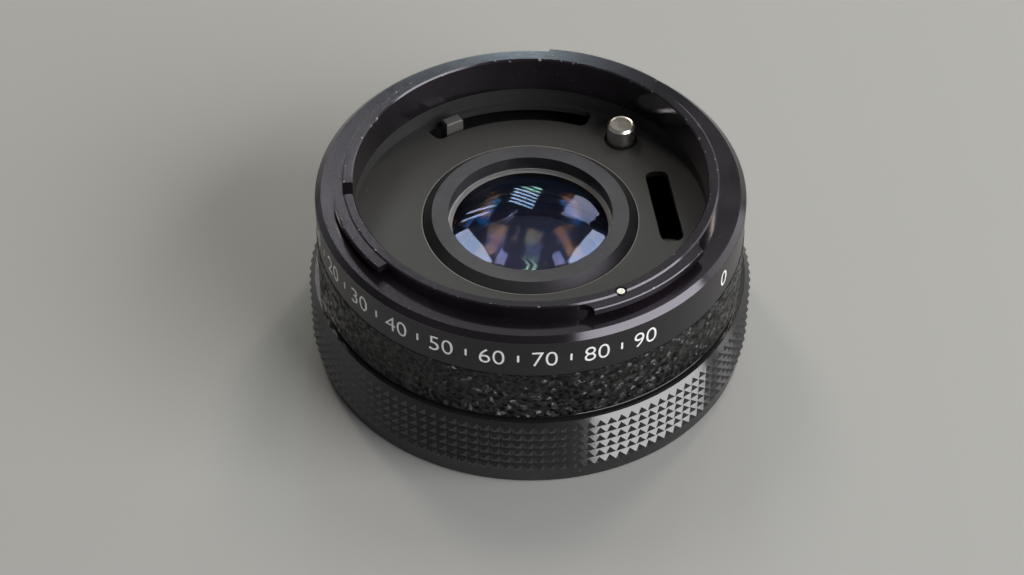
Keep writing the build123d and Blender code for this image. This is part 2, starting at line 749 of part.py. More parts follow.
with BuildPart() as drive_rivets:
    rods(drive_rivet_circle, [drive_lever_angle], rivet_radius, drive_ring_bottom,
         lobe_top + lever_foot_thickness)
    rods(drive_rivet_circle, [drive_rear_angle], rivet_radius, drive_foot_bottom, lobe_top)
    rods(drive_rivet_circle, [drive_lever_angle], rivet_head_radius, lobe_top + lever_foot_thickness,
         lobe_top + lever_foot_thickness + rivet_head_height)
    rods(drive_rivet_circle, [drive_rear_angle], rivet_head_radius, drive_foot_bottom - rivet_head_height,
         drive_foot_bottom)

# Aperture signal: ring with a lobe, fork under the straight slot, rear lever down
signal_lobe_top = signal_ring_bottom + lobe_thickness
signal_foot_bottom = signal_ring_bottom - lever_foot_thickness
fork_side = (fork_gap + fork_prong_width) / 2
with BuildPart() as signal_ring:
    ring(ring_bore_radius, ring_radius, signal_ring_bottom, signal_ring_top)
    sector(ring_radius - lobe_root, signal_lobe_radius, signal_lobe_start, signal_lobe_sweep,
           signal_ring_bottom, signal_lobe_top)
    rods(signal_outer_radius - rivet_inset, [signal_angle], rivet_radius,
         signal_ring_bottom, signal_lobe_top, Mode.SUBTRACT)

with BuildPart() as signal_fork:
    spoke(fork_foot_inner_radius, signal_outer_radius, fork_gap + 2 * fork_prong_width, signal_angle,
          signal_lobe_top, signal_lobe_top + lever_foot_thickness)
    for aside in (-fork_side, fork_side):
        spoke(signal_inner_radius, signal_outer_radius, fork_prong_width, signal_angle, signal_lobe_top,
              signal_lobe_top + fork_height, aside=aside)
    rods(signal_outer_radius - rivet_inset, [signal_angle], rivet_radius, signal_lobe_top,
         signal_lobe_top + lever_foot_thickness, Mode.SUBTRACT)

with BuildPart() as signal_rear_lever:
    spoke(signal_inner_radius, signal_outer_radius, signal_lever_width, signal_angle, lever_tip_height,
          signal_ring_bottom)
    fillet(signal_rear_lever.faces().sort_by(Axis.Z)[0].edges(), lever_tip_round)
    rods(signal_outer_radius - rivet_inset, [signal_angle], rivet_radius, signal_foot_bottom,
         signal_ring_bottom, Mode.SUBTRACT)

with BuildPart() as signal_rivet:
    rods(signal_outer_radius - rivet_inset, [signal_angle], rivet_radius, signal_foot_bottom,
         signal_lobe_top + lever_foot_thickness)
    rods(signal_outer_radius - rivet_inset, [signal_angle], rivet_head_radius,
         signal_lobe_top + lever_foot_thickness, signal_lobe_top + lever_foot_thickness + rivet_head_height)

# Full-aperture pin: dished bright head, thin shaft, washer, spring and guide bush
pin_plane = level_plane(pin_angle, 0)
pin_centre = (pin_circle * cos(radians(pin_angle)), pin_circle * sin(radians(pin_angle)))
pin_side = Plane(origin=(*pin_centre, 0), x_dir=pin_plane.x_dir, z_dir=-pin_plane.y_dir)
pin_axis = Axis((*pin_centre, 0), (0, 0, 1))
with BuildPart() as full_aperture_pin:
    with BuildSketch(pin_side) as pin_section:
        with BuildLine():
            Polyline(
                (0, pin_top - pin_dish_depth),
                (pin_dish_radius, pin_top - pin_dish_depth / 2),
                (pin_radius - pin_edge_chamfer, pin_top),
                (pin_radius, pin_top - pin_edge_chamfer),
                (pin_radius, pin_shoulder),
                (pin_shaft_radius, pin_shoulder),
                (pin_shaft_radius, pin_tip_height + pin_tip_chamfer),
                (pin_shaft_radius - pin_tip_chamfer, pin_tip_height),
                (0, pin_tip_height),
                close=True,
            )
        make_face()
    revolve(pin_section.sketch, axis=pin_axis)

pin_washer_bottom = pin_shoulder - washer_thickness
with BuildPart() as pin_washer:
    rods(pin_circle, [pin_angle], washer_radius, pin_washer_bottom, pin_shoulder)
    rods(pin_circle, [pin_angle], pin_shaft_radius, pin_washer_bottom, pin_shoulder, Mode.SUBTRACT)

pin_spring_pitch = (pin_washer_bottom - plate_top - 2 * pin_spring_wire) / pin_spring_turns
with BuildPart() as pin_spring:
    coil(pin_centre, pin_spring_radius, pin_spring_wire, plate_top, pin_spring_pitch, pin_spring_turns)

with BuildPart() as pin_guide_bush:
    rods(pin_circle, [pin_angle], pin_guide_radius + bush_wall, bush_top - bush_length, bush_top)
    rods(pin_circle, [pin_angle], pin_guide_radius, bush_top - bush_length, bush_top, Mode.SUBTRACT)

# Rear mount flange with its centring collar, its screws, key and cover plate
with BuildPart() as rear_mount_flange:
    turn([
        (collar_bore_radius, flange_face_height - collar_length),
        (collar_radius - collar_chamfer, flange_face_height - collar_length),
        (collar_radius, flange_face_height - collar_length + collar_chamfer),
        (collar_radius, flange_face_height),
        (flange_radius, flange_face_height),
        (flange_radius, plate_bottom),
        (collar_bore_radius, plate_bottom),
    ])
    rods(flange_screw_circle, flange_screw_angles, flange_screw_radius, flange_face_height, plate_bottom,
         Mode.SUBTRACT)
    rods(flange_screw_circle, flange_screw_angles, flange_screw_head_radius + seat_clearance,
         flange_face_height, flange_face_height + flange_screw_recess + flange_screw_head_height,
         Mode.SUBTRACT)
    rods(key_circle, [notch_angle], key_shank_radius, flange_face_height,
         flange_face_height + key_shank_length, Mode.SUBTRACT)

flange_head_top = flange_face_height + flange_screw_recess + flange_screw_head_height
with BuildPart() as rear_flange_screws:
    rods(flange_screw_circle, flange_screw_angles, flange_screw_head_radius,
         flange_face_height + flange_screw_recess, flange_head_top)
    rods(flange_screw_circle, flange_screw_angles, flange_screw_radius, flange_head_top,
         flange_face_height + flange_screw_recess + flange_screw_length)
    for angle in flange_screw_angles:
        spoke(flange_screw_circle - flange_screw_head_radius, flange_screw_circle + flange_screw_head_radius,
              screw_slot_width, angle, flange_face_height + flange_screw_recess,
              flange_face_height + flange_screw_recess + screw_slot_depth, Mode.SUBTRACT)

with BuildPart() as locating_key:
    spoke(key_inner_radius, key_inner_radius + key_reach, key_width, notch_angle,
          flange_face_height - key_height, flange_face_height)
    rods(key_circle, [notch_angle], key_shank_radius, flange_face_height,
         flange_face_height + key_shank_length)

cover_bottom = plate_bottom - cover_thickness
with BuildPart() as rear_cover_plate:
    ring(cover_inner_radius, cover_outer_radius, cover_bottom, plate_bottom)
    lever_slots(cover_bottom, plate_bottom)
    rods(cover_screw_circle, cover_screw_angles, cover_screw_radius, cover_bottom, plate_bottom,
         Mode.SUBTRACT)

with BuildPart() as rear_cover_screws:
    rods(cover_screw_circle, cover_screw_angles, cover_screw_head_radius,
         cover_bottom - cover_screw_head_height, cover_bottom)
    rods(cover_screw_circle, cover_screw_angles, cover_screw_radius, cover_bottom,
         cover_bottom + cover_screw_length)
    for angle in cover_screw_angles:
        spoke(cover_screw_circle - cover_screw_head_radius, cover_screw_circle + cover_screw_head_radius,
              screw_slot_width, angle, cover_bottom - cover_screw_head_height,
              cover_bottom - cover_screw_head_height + screw_slot_depth / 2, Mode.SUBTRACT)

# Breech ring: pyramid knurl outside, bearing lip and three bayonet tabs inside
first_tip = grip_height - knurl_top_margin
knurl_row_pitch = (first_tip - knurl_foot) / (knurl_rows - 1 / 2)
row_slope = knurl_row_depth / (knurl_row_pitch / 2)
tab_top = flange_face_height - tab_drop
tab_bottom = tab_top - tab_thickness
rim_floor = tab_bottom - axial_clearance
knurl_profile = [(grip_foot_radius, knurl_foot)]
for row in range(knurl_rows):
    tip = first_tip - (knurl_rows - 1 - row) * knurl_row_pitch
    knurl_profile += [(grip_radius, tip - knurl_tip_flat), (grip_radius, tip + knurl_tip_flat)]
    if row < knurl_rows - 1:
        knurl_profile.append((grip_foot_radius, tip + knurl_row_pitch / 2))
knurl_profile.append((grip_radius - row_slope * knurl_top_margin, grip_height))
groove_half_width = pi * grip_radius / knurl_columns - knurl_tip_flat
groove_reach = (knurl_column_depth + cut_overrun) / knurl_column_depth
with BuildPart() as breech_ring:
    turn([
        (skirt_bore_radius + grip_foot_bore_chamfer, 0),
        (grip_foot_radius - grip_foot_chamfer, 0),
        (grip_foot_radius, grip_foot_chamfer),
        *knurl_profile,
        (chassis_bearing_radius, grip_height),
        (chassis_bearing_radius, lip_top),
        (lip_bore_radius, lip_top),
        (lip_bore_radius, lip_bottom),
        (rim_bore_radius, lip_bottom),
        (rim_bore_radius, rim_floor),
        (skirt_bore_radius, rim_floor),
        (skirt_bore_radius, grip_foot_bore_chamfer),
    ])
    for start, sweep_angle in zip(tab_starts, tab_sweeps):
        sector(tab_inner_radius, rim_bore_radius + weld_overlap, start, sweep_angle, tab_bottom, tab_top)
    groove_pin_half = half_turn(2 * stop_pin_radius, chassis_radius) + stop_groove_margin
    sector(chassis_bearing_radius - cut_overrun, chassis_bearing_radius + stop_groove_depth,
           stop_pin_angle - groove_pin_half, breech_turn + 2 * groove_pin_half,
           stop_pin_height - stop_groove_height / 2, stop_pin_height + stop_groove_height / 2,
           Mode.SUBTRACT)
    with BuildSketch(Plane.XY.offset(knurl_foot)) as groove_outlines:
        with PolarLocations(grip_radius, knurl_columns, start_angle=180 / knurl_columns):
            Polygon(
                (-knurl_column_depth, 0),
                (cut_overrun, groove_half_width * groove_reach),
                (cut_overrun, -groove_half_width * groove_reach),
                align=None,
            )
    extrude(groove_outlines.sketch, amount=knurl_rows * knurl_row_pitch + cut_overrun, mode=Mode.SUBTRACT)

with BuildPart() as breech_stop_pin:
    radial_rods([stop_pin_angle], stop_pin_height, stop_pin_radius, chassis_radius - stop_pin_depth,
                chassis_radius + stop_pin_reach)

with BuildPart() as friction_washer:
    ring(chassis_foot_radius + seat_clearance, chassis_radius, washer_bottom, washer_top)

# Front retaining ring: the raised cone and flat ring round the front lens
with BuildPart() as front_retaining_ring:
    turn([
        (nose_bore_radius, front_glass_top),
        (nose_bore_radius, nose_top),
        (nose_top_radius, nose_top),
        (nose_radius, baffle_top - seat_clearance),
        (nose_radius, front_glass_top - nose_skirt),
        (nose_radius - nose_skirt_wall, front_glass_top - nose_skirt),
        (nose_radius - nose_skirt_wall, front_glass_top),
    ])

# Lens barrel with its flange on the hub and the septum between the two groups
front_bore_radius = front_glass_radius + glass_clearance
rear_bore_radius = rear_glass_radius + glass_clearance
with BuildPart() as lens_barrel:
    turn([
        (rear_bore_radius, barrel_bottom),
        (lens_barrel_radius, barrel_bottom),
        (lens_barrel_radius, hub_top),
        (barrel_flange_radius, hub_top),
        (barrel_flange_radius, barrel_flange_top),
        (front_bore_radius, barrel_flange_top),
        (front_bore_radius, second_glass_bottom),
        (septum_radius, second_glass_bottom),
        (septum_radius, septum_bottom),
        (rear_bore_radius, septum_bottom),
    ])

with BuildPart() as front_element:
    lens(front_glass_radius, front_glass_bottom, front_glass_top, front_glass_clear_radius,
         front_glass_front_curve_share, front_glass_clear_radius, front_glass_rear_curve_share)

with BuildPart() as front_spacer:
    ring(front_glass_radius - front_spacer_wall, front_glass_radius, second_glass_top, front_glass_bottom)

with BuildPart() as second_element:
    lens(front_glass_radius, second_glass_bottom, second_glass_top, second_glass_clear_radius,
         -second_glass_front_curve_share, second_glass_clear_radius, -second_glass_rear_curve_share)

with BuildPart() as third_element:
    lens(rear_glass_radius, third_glass_bottom, septum_bottom, septum_radius - glass_rim_clearance,
         third_glass_front_curve_share, third_glass_clear_radius, third_glass_rear_curve_share)

with BuildPart() as rear_spacer:
    ring(rear_glass_radius - rear_spacer_wall, rear_glass_radius, rear_glass_top, third_glass_bottom)

with BuildPart() as rear_element:
    lens(rear_glass_radius, rear_glass_bottom, rear_glass_top, rear_glass_front_clear_radius,
         -rear_glass_front_curve_share, rear_glass_rear_clear_radius, rear_glass_rear_curve_share)

with BuildPart() as rear_retaining_ring:
    ring(rear_glass_radius - rear_retainer_wall, rear_glass_radius, rear_retainer_bottom, rear_glass_bottom)
    for angle in spaced(2, 0):
        spoke(rear_glass_radius - 2 * rear_retainer_wall, rear_glass_radius + cut_overrun,
              rear_retainer_slot, angle, rear_retainer_bottom, rear_retainer_bottom + rear_retainer_slot / 2,
              Mode.SUBTRACT)

with BuildPart() as barrel_lock_ring:
    ring(lens_barrel_radius, lock_ring_radius, plate_bottom - lock_ring_thickness, plate_bottom)
    for angle in spaced(lock_ring_notches, 0):
        spoke(lock_ring_radius - lock_ring_notch, lock_ring_radius + cut_overrun, lock_ring_notch, angle,
              plate_bottom - lock_ring_thickness, plate_bottom - lock_ring_thickness / 2, Mode.SUBTRACT)

pieces = {
    "front_mount_ring": front_mount_ring,
    "index_pin": index_pin,
    "front_ring_screws": front_ring_screws,
    "housing_barrel": housing_barrel,
    "leatherette_band": leatherette_band,
    "front_baffle": front_baffle,
    "chassis": chassis,
    "chassis_screws": chassis_screws,
    "signal_sleeve": signal_sleeve,
    "drive_sleeve": drive_sleeve,
    "signal_return_spring": signal_return_spring,
    "drive_return_spring": drive_return_spring,
    "hub_circlip": hub_circlip,
    "drive_ring": drive_ring,
    "drive_front_lever": drive_front_lever,
    "drive_rear_lever": drive_rear_lever,
    "drive_rivets": drive_rivets,
    "signal_ring": signal_ring,
    "signal_fork": signal_fork,
    "signal_rear_lever": signal_rear_lever,
    "signal_rivet": signal_rivet,
    "full_aperture_pin": full_aperture_pin,
    "pin_washer": pin_washer,
    "pin_spring": pin_spring,
    "pin_guide_bush": pin_guide_bush,
    "rear_mount_flange": rear_mount_flange,
    "rear_flange_screws": rear_flange_screws,
    "locating_key": locating_key,
    "rear_cover_plate": rear_cover_plate,
    "rear_cover_screws": rear_cover_screws,
    "breech_ring": breech_ring,
    "breech_stop_pin": breech_stop_pin,
    "friction_washer": friction_washer,
    "front_retaining_ring": front_retaining_ring,
    "lens_barrel": lens_barrel,
    "front_element": front_element,
    "front_spacer": front_spacer,
    "second_element": second_element,
    "third_element": third_element,
    "rear_spacer": rear_spacer,
    "rear_element": rear_element,
    "rear_retaining_ring": rear_retaining_ring,
    "barrel_lock_ring": barrel_lock_ring,
}
for name, piece in pieces.items():
    piece.part.label = name
    export_step(piece.part, f"parts/{name}.step")
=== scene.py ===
"""Finishes a teleconverter's metal, leatherette, lenses and print, and sets a plain stage."""

import json
import math

import bmesh
import bpy
from mathutils import Euler, Matrix, Vector


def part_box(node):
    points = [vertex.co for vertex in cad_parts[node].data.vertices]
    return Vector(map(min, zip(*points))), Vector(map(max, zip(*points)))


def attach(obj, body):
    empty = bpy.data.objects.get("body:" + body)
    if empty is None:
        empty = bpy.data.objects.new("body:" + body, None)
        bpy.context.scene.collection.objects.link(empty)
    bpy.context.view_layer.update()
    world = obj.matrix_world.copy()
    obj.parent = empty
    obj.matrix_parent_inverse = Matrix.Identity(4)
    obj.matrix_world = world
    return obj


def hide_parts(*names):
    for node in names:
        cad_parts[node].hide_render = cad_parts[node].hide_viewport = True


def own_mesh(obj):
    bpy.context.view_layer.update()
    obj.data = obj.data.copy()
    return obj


bl_info = {
    "name": "Camera Teleconverter",
    "version": (1, 0, 0),
    "blender": (4, 5, 0),
    "location": "3D View > Sidebar > Teleconverter",
    "description": "Finishes a breech-lock teleconverter and sets a plain studio round it",
    "category": "Object",
}

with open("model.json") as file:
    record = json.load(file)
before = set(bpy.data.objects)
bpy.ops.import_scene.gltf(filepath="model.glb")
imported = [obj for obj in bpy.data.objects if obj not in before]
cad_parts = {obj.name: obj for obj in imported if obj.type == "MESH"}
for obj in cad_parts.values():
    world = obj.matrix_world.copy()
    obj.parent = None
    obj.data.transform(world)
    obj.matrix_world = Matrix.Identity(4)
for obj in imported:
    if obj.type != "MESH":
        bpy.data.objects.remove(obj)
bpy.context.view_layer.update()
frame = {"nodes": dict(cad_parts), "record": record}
NODES = frame["nodes"]
MM = 0.001

# Radii and heights of the CAD pieces that the finishes follow
BAND_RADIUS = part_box("front_mount_ring")[1][0] + 0.05 * MM
GRIP_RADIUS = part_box("breech_ring")[1][0]
BAFFLE_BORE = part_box("front_retaining_ring")[1][0] + 0.15 * MM
POLISHED_SEAT_TOP = 11.88 * MM

# Edges of the mount ring that handling has nicked: inner radius, outer radius, height
NICKED_EDGES = (
    (23.95 * MM, 24.25 * MM, 27.95 * MM),
    (26.6 * MM, 26.85 * MM, 27.9 * MM),
    (25.1 * MM, 25.25 * MM, 28.2 * MM),
)

# Sizes of the surface detail, as features to a metre of surface
RING_HANDLING_SCALE = 90.0
RING_DUST_SCALE = 2600.0
NICK_SCALE = 1100.0
GRIP_HANDLING_SCALE = 110.0
GRIP_PATCH_SCALE = 240.0
GRIP_DUST_SCALE = 2400.0
GRIP_TOOTH_SCALE = 3000.0
GRAIN_SCALE = 1550.0
GRAIN_WARP_SCALE = 1300.0
FINE_GRAIN_SCALE = 4200.0
PAINT_CLOUD_SCALE = 130.0
PAINT_DUST_SCALE = 2100.0
PAINT_TOOTH_SCALE = 5200.0
STAIN_SCALE = 700.0
HAZE_SCALE = 260.0
PRINT_WEAR_SCALE = 1500.0

# Levels of a noise between which a mark fades in
HANDLING_LEVELS = (0.35, 0.7)
RING_DUST_LEVELS = (0.7, 0.78)
NICK_LEVELS = (0.62, 0.68)
GRIP_DUST_LEVELS = (0.69, 0.78)
CREASE_LEVELS = (0.45, 0.8)
GRAIN_DUST_LEVELS = (0.64, 0.8)
PAINT_DUST_LEVELS = (0.72, 0.8)
STAIN_LEVELS = (0.4, 0.9)
HAZE_LEVELS = (0.5, 0.9)
PRINT_WEAR_LEVELS = (0.5, 0.85)

# Heights, depths and widths of the surface detail
LATHE_PITCH = 0.3 * MM
LATHE_DEPTH = 0.002 * MM
GRIP_TOOTH_DEPTH = 0.003 * MM
PAINT_TOOTH_DEPTH = 0.012 * MM
GRAIN_WARP = 0.3 * MM
GRAIN_HEIGHT = 0.14 * MM
FINE_GRAIN_HEIGHT = 0.03 * MM
FACET_SLOPE = 1.8
SOFT_EDGE = 0.02 * MM
RIM_EDGE = 0.04 * MM

# Colours that go with the finishes
GLOSS_SHEEN = (0.014, 0.0105, 0.014)
SATIN_SHEEN = (0.011, 0.0105, 0.0115)
NOSE_SHEEN = (0.026, 0.026, 0.027)
VIOLET_GLOSS = (0.93, 0.88, 1.0)
RING_DUST = (0.16, 0.16, 0.16)
NICKED_METAL = (0.3, 0.29, 0.28)
GRIP_SHEEN = (0.02, 0.018, 0.019)
GRIP_DUST = (0.17, 0.17, 0.165)
WORN_GRIP = (0.14, 0.135, 0.13)
# Painted shade for the creases of the leatherette
PAINTED_CREASE_SHADE = (0.003, 0.003, 0.003)
GRAIN_DUST = (0.06, 0.062, 0.062)
PAINT_DUST = (0.2, 0.2, 0.19)
# Painted highlight for the edge of a painted bore
PAINTED_BORE_HIGHLIGHT = (0.4, 0.4, 0.39)
SPACER_GREY = (0.3, 0.29, 0.28)
LEVER_GREY = (0.06, 0.058, 0.056)
INDEX_STEEL = (0.7, 0.66, 0.6)
PLAIN_STEEL = (0.4, 0.39, 0.38)
BLACKENED_BRASS = (0.05, 0.045, 0.038)
SATIN_CHROME = (0.68, 0.67, 0.65)
GROUND_GLASS = (0.6, 0.6, 0.59)
INKED_GLASS = (0.006, 0.006, 0.006)
CLEAR_GLASS = (0.99, 0.98, 1.0)
WORN_PRINT = (0.6, 0.6, 0.59)
SKY = (0.95, 0.96, 1.0)
WHITE = (1.0, 1.0, 1.0)
WARM_WHITE = (1.0, 0.9, 0.76)
GREEN_WHITE = (0.5, 1.0, 0.6)
COOL_WHITE = (0.75, 0.97, 1.0)

# The soft lights: name, setting of the stage that gives the brightness, the directions where the
# light starts and ends as azimuth and elevation, its breadth, all in degrees, and its colour
LIGHTS = (
    ("window", "window", (-60, 26), (1, 26), 36, WHITE),
    ("far_window", "far_window", (5, 13), (52, 13), 24, WHITE),
    ("back", "back", (40, 52), (145, 52), 40, WHITE),
    ("doorway", "doorway", (67, 31), (77.5, 31), 19, WHITE),
    ("skylight_left", "skylights", (120, 42), (126, 63), 5.5, WARM_WHITE),
    ("skylight_right", "skylights", (60, 42), (54, 63), 5.5, WARM_WHITE),
    ("strip_one", "slats", (112, 34), (102, 35), 1.0, WHITE),
    ("strip_two", "slats", (116, 37), (105, 38), 1.2, WHITE),
    ("strip_three", "slats", (105, 50), (97, 43), 0.22, WHITE),
    ("strip_four", "slats", (102, 45), (95, 40), 0.22, WHITE),
)
LIGHT_AIM_HEIGHT = 20 * MM

# The slats lie side by side between a lowest and a highest one, given the same way
SLAT_COUNT = 8
GREEN_SLATS = 3
SLAT_STARTS = ((92.2, 17.7), (97.1, 34.3))
SLAT_ENDS = ((86.2, 23.0), (89.3, 40.5))
SLAT_BREADTH = 0.85

# The surroundings: the heights of a direction between which they change, and their light below
OVERHEAD_HEIGHTS = (0.15, 0.45)
BELOW_HEIGHTS = (0.1, 0.3)
BELOW_BRIGHTNESS = 0.5

# The print: depth, thinning and curve steps of its letters before they are scaled to size
TEXT_DEPTH = 0.05
TEXT_OFFSET = -0.01
TEXT_CURVE_STEPS = 6
TEXT_MERGE_DISTANCE = 0.0005
TICK_CORNER_SHARE = 0.35

# The camera: focal length and sensor width in millimetres, place, and angles in degrees
FOCAL_LENGTH = 93.87
SENSOR_WIDTH = 36.0
CAMERA_PLACE = (0.0, -266.194 * MM, 270.569 * MM)
CAMERA_DOWN = 44.7416
CAMERA_TURN = 0.5351
CAMERA_ROLL = 0.1678


# Settings that a user would change


class PrintSettings(bpy.types.PropertyGroup):
    digit_height: bpy.props.FloatProperty(
        name="Digit height", description="Height of the printed numbers",
        default=2.5 * MM, unit="LENGTH", precision=5,
    )
    digit_level: bpy.props.FloatProperty(
        name="Digit level", description="Height of the middle of the numbers",
        default=22.75 * MM, unit="LENGTH", precision=5,
    )
    proud: bpy.props.FloatProperty(
        name="Print thickness", description="How far the paint stands proud",
        default=0.02 * MM, unit="LENGTH", precision=6,
    )
    tick_height: bpy.props.FloatProperty(
        name="Tick height", description="Height of the marks between numbers",
        default=1.2 * MM, unit="LENGTH", precision=5,
    )
    tick_width: bpy.props.FloatProperty(
        name="Tick width", description="Width of the marks between numbers",
        default=0.28 * MM, unit="LENGTH", precision=5,
    )
    first_angle: bpy.props.FloatProperty(
        name="First angle", description="Angle of the first number",
        default=math.radians(-167.0), subtype="ANGLE",
    )
    step_angle: bpy.props.FloatProperty(
        name="Angle step", description="Angle from one number to the next",
        default=math.radians(13.5), subtype="ANGLE",
    )
    count: bpy.props.IntProperty(
        name="Numbers", description="How many numbers the long row has", default=9, min=1, max=20,
    )
    side_angle: bpy.props.FloatProperty(
        name="Side angle", description="Angle of the number that stands apart",
        default=math.radians(-28.5), subtype="ANGLE",
    )


class FinishSettings(bpy.types.PropertyGroup):
    anodised: bpy.props.FloatVectorProperty(
        name="Anodised black", description="Colour of the black anodised metal",
        default=(0.007, 0.006, 0.0068), size=3, min=0.0, max=1.0, subtype="COLOR",
    )
    band: bpy.props.FloatVectorProperty(
        name="Printed band", description="Colour of the satin band under the shoulder",
        default=(0.007, 0.0066, 0.0073), size=3, min=0.0, max=1.0, subtype="COLOR",
    )
    grain: bpy.props.FloatVectorProperty(
        name="Leatherette", description="Colour of the grip covering",
        default=(0.004, 0.0042, 0.0042), size=3, min=0.0, max=1.0, subtype="COLOR",
    )
    baffle: bpy.props.FloatVectorProperty(
        name="Matt black", description="Colour of the painted inner metal",
        default=(0.018, 0.018, 0.0177), size=3, min=0.0, max=1.0, subtype="COLOR",
    )
    print_white: bpy.props.FloatVectorProperty(
        name="Printing", description="Colour of the printed numbers",
        default=(0.8, 0.8, 0.79), size=3, min=0.0, max=1.0, subtype="COLOR",
    )
    steel: bpy.props.FloatVectorProperty(
        name="Bright steel", description="Colour of the turned steel pin",
        default=(0.88, 0.85, 0.78), size=3, min=0.0, max=1.0, subtype="COLOR",
    )
    brass: bpy.props.FloatVectorProperty(
        name="Brass", description="Colour of the plain brass pieces",
        default=(0.62, 0.45, 0.2), size=3, min=0.0, max=1.0, subtype="COLOR",
    )
    front_coating: bpy.props.FloatProperty(
        name="Front coating", description="Thickness of the front lens coating in nanometres",
        default=125.0, min=0.0,
    )
    inner_coating: bpy.props.FloatProperty(
        name="Inner coating", description="Thickness of the inner lens coatings in nanometres",
        default=150.0, min=0.0,
    )
    rear_coating: bpy.props.FloatProperty(
        name="Rear coating", description="Thickness of the rear lens coatings in nanometres",
        default=128.0, min=0.0,
    )


class StageSettings(bpy.types.PropertyGroup):
    floor: bpy.props.FloatVectorProperty(
        name="Floor", description="Colour of the plain floor",
        default=(0.36, 0.36, 0.35), size=3, min=0.0, max=1.0, subtype="COLOR",
    )
    window: bpy.props.FloatProperty(
        name="Window", description="Brightness of the large soft light at the front right",
        default=6.5, min=0.0,
    )
    back: bpy.props.FloatProperty(
        name="Back", description="Brightness of the faint soft light behind",
        default=0.5, min=0.0,
    )
    far_window: bpy.props.FloatProperty(
        name="Far window", description="Brightness of the weaker soft light at the right",
        default=1.3, min=0.0,
    )
    doorway: bpy.props.FloatProperty(
        name="Doorway", description="Brightness of the upright soft light behind",
        default=5.5, min=0.0,
    )
    skylights: bpy.props.FloatProperty(
        name="Skylights", description="Brightness of the two high narrow lights behind",
        default=16.0, min=0.0,
    )
    slats: bpy.props.FloatProperty(
        name="Slats", description="Brightness of the narrow strips behind",
        default=14.0, min=0.0,
    )
    fill: bpy.props.FloatProperty(
        name="Fill", description="Brightness of the surroundings overhead",
        default=0.1, min=0.0, max=1.0,
    )
    horizon: bpy.props.FloatProperty(
        name="Horizon", description="Brightness of the surroundings near the floor",
        default=0.34, min=0.0, max=1.0,
    )


# Shader maths


class Wire:
    """A socket that takes part in sums, so that shader maths reads as an expression."""

    def __init__(self, sheet, socket):
        self.sheet = sheet
        self.socket = socket

    def math(self, operation, *values):
        return self.sheet.math(operation, self, *values)

    def __add__(self, other):
        return self.math("ADD", other)

    __radd__ = __add__

    def __sub__(self, other):
        return self.math("SUBTRACT", other)

    def __rsub__(self, other):
        return self.sheet.math("SUBTRACT", other, self)

    def __mul__(self, other):
        return self.math("MULTIPLY", other)

    __rmul__ = __mul__

    def __truediv__(self, other):
        return self.math("DIVIDE", other)

    def __rtruediv__(self, other):
        return self.sheet.math("DIVIDE", other, self)

    def side(self, output):
        """Another output of the same node."""
        return Wire(self.sheet, self.socket.node.outputs[output])

    def rise(self, low, high):
        """0 below low, 1 above high and a smooth ramp between them."""
        return self.sheet.add(
            "ShaderNodeMapRange", {"interpolation_type": "SMOOTHSTEP"},
            {"Value": self, "From Min": low, "From Max": high},
        )

    def within(self, low, high, soft):
        """1 between low and high, falling to 0 over a soft margin."""
        return self.rise(low - soft, low) * (1.0 - self.rise(high, high + soft))


class Sheet:
    """The node tree of a material or the world, with one method that makes every node."""

    def __init__(self, tree):
        self.tree = tree
        tree.nodes.clear()

    def add(self, kind, settings=None, inputs=None, output=0):
        node = self.tree.nodes.new(kind)
        for name, value in (settings or {}).items():
            setattr(node, name, value)
        for key, value in (inputs or {}).items():
            socket = node.inputs[key]
            if isinstance(value, Wire):
                self.tree.links.new(value.socket, socket)
            elif isinstance(value, tuple) and len(value) == 3 and len(socket.default_value) == 4:
                socket.default_value = (*value, 1.0)
            else:
                socket.default_value = value
        return Wire(self, node.outputs[output]) if len(node.outputs) else node

    def math(self, operation, *values):
        return self.add("ShaderNodeMath", {"operation": operation}, dict(enumerate(values)))

    def vector(self, operation, *values):
        return self.add("ShaderNodeVectorMath", {"operation": operation}, dict(enumerate(values)))

    def mix(self, share, low, high):
        """A colour that goes from low to high with share."""
        inputs = {"Factor": share, 6: as_colour(low), 7: as_colour(high)}
        return self.add("ShaderNodeMix", {"data_type": "RGBA"}, inputs, output=2)

    def coords(self):
        """Object coordinates, which are those of the whole object."""
        return self.add("ShaderNodeTexCoord", output=3)

    def split(self, vector):
        x = self.add("ShaderNodeSeparateXYZ", inputs={0: vector})
        return x, x.side(1), x.side(2)

    def radius_and_height(self, coords):
        """How far a point is from the optical axis, and how high."""
        x, y, z = self.split(coords)
        return (x * x + y * y).math("SQRT"), z

    def noise(self, vector, scale, detail=2.0, roughness=0.5):
        return self.add("ShaderNodeTexNoise", inputs={
            "Vector": vector, "Scale": scale, "Detail": detail, "Roughness": roughness})

    def rough_noise(self, vector, scale, detail=4.0):
        """A noise with more of its fine detail."""
        return self.noise(vector, scale, detail, roughness=0.6)

    def bump(self, height, depth):
        return self.add("ShaderNodeBump", inputs={
            "Height": height, "Distance": depth, "Strength": 1.0})

    def shader(self, inputs):
        return self.add("ShaderNodeBsdfPrincipled", inputs=inputs)

    def blend(self, share, low, high):
        """A shader that goes from low to high with share."""
        return self.add("ShaderNodeMixShader", inputs={0: share, 1: low, 2: high})

    def surface(self, shader):
        self.add("ShaderNodeOutputMaterial", inputs={"Surface": shader})


def as_colour(value):
    return value if isinstance(value, Wire) else (*value, 1.0)


def dimmed(colour, share):
    return tuple(share * part for part in colour)


def new_material(name):
    material = bpy.data.materials.new(name)
    material.use_nodes = True
    return material, Sheet(material.node_tree)


def turned_height(sheet, coords, pitch):
    """Fine rings round the optical axis, as a lathe tool leaves them."""
    radius, z = sheet.radius_and_height(coords)
    rings = sheet.add("ShaderNodeCombineXYZ", inputs={0: radius / pitch, 1: z / pitch, 2: 0.0})
    return sheet.rough_noise(rings, 1.0, detail=3.0)


